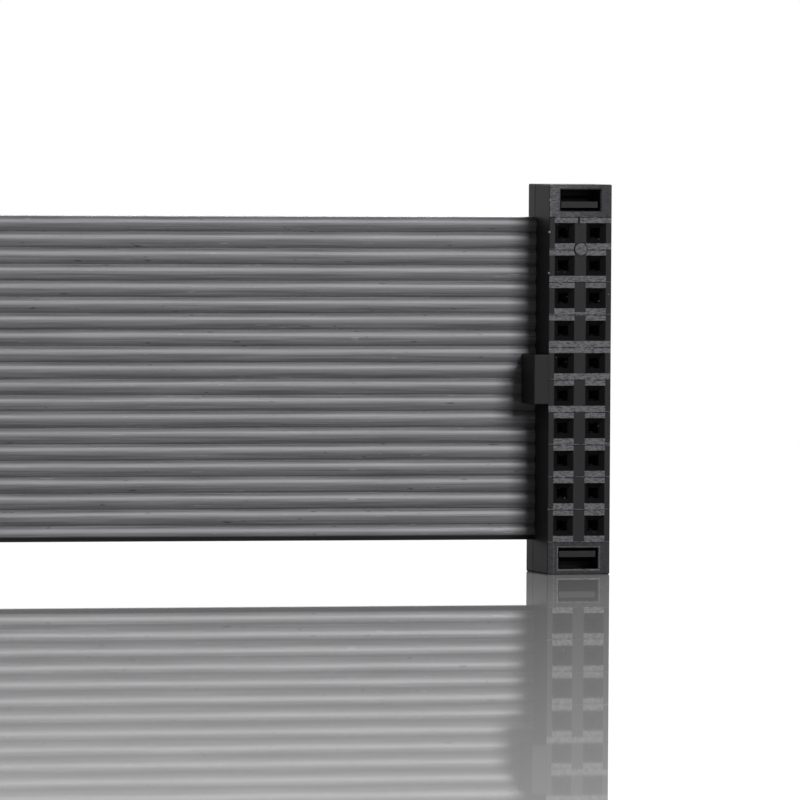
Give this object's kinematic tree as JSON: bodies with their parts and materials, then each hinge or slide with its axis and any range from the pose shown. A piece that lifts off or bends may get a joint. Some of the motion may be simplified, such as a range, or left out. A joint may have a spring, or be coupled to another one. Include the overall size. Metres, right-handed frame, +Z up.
{
  "type": "ribbon cable",
  "caption": "Grey flat ribbon cable with a black two-row pressed-on socket at each end.",
  "frame": {"origin": "centre of the near housing's foot, the end face that it stands on", "axes": "+X away from the ribbon at the near socket, +Y from the mating faces towards the covers, +Z up along the rows of holes"},
  "size_m": [0.2011, 0.006, 0.0305],
  "materials": {
    "black_housing": "spark-eroded matte",
    "black_cover": "smooth moulded",
    "grey_insulation": "satin flexible PVC",
    "tinned_contact": "tinned phosphor bronze",
    "tinned_copper": "tinned copper strand"
  },
  "bodies": {
    "root": {"conductor_pair_01": "tinned_copper", "conductor_pair_02": "tinned_copper", "conductor_pair_03": "tinned_copper", "conductor_pair_04": "tinned_copper", "conductor_pair_05": "tinned_copper", "conductor_pair_06": "tinned_copper", "conductor_pair_07": "tinned_copper", "conductor_pair_08": "tinned_copper", "conductor_pair_09": "tinned_copper", "conductor_pair_10": "tinned_copper", "far_contact_01": "tinned_contact", "far_contact_02": "tinned_contact", "far_contact_03": "tinned_contact", "far_contact_04": "tinned_contact", "far_contact_05": "tinned_contact", "far_contact_06": "tinned_contact", "far_contact_07": "tinned_contact", "far_contact_08": "tinned_contact", "far_contact_09": "tinned_contact", "far_contact_10": "tinned_contact", "far_contact_11": "tinned_contact", "far_contact_12": "tinned_contact", "far_contact_13": "tinned_contact", "far_contact_14": "tinned_contact", "far_contact_15": "tinned_contact", "far_contact_16": "tinned_contact", "far_contact_17": "tinned_contact", "far_contact_18": "tinned_contact", "far_contact_19": "tinned_contact", "far_contact_20": "tinned_contact", "far_cover": "black_cover", "far_housing": "black_housing", "near_contact_01": "tinned_contact", "near_contact_02": "tinned_contact", "near_contact_03": "tinned_contact", "near_contact_04": "tinned_contact", "near_contact_05": "tinned_contact", "near_contact_06": "tinned_contact", "near_contact_07": "tinned_contact", "near_contact_08": "tinned_contact", "near_contact_09": "tinned_contact", "near_contact_10": "tinned_contact", "near_contact_11": "tinned_contact", "near_contact_12": "tinned_contact", "near_contact_13": "tinned_contact", "near_contact_14": "tinned_contact", "near_contact_15": "tinned_contact", "near_contact_16": "tinned_contact", "near_contact_17": "tinned_contact", "near_contact_18": "tinned_contact", "near_contact_19": "tinned_contact", "near_contact_20": "tinned_contact", "near_cover": "black_cover", "near_housing": "black_housing", "ribbon_insulation": "grey_insulation"}
  },
  "joints": []
}
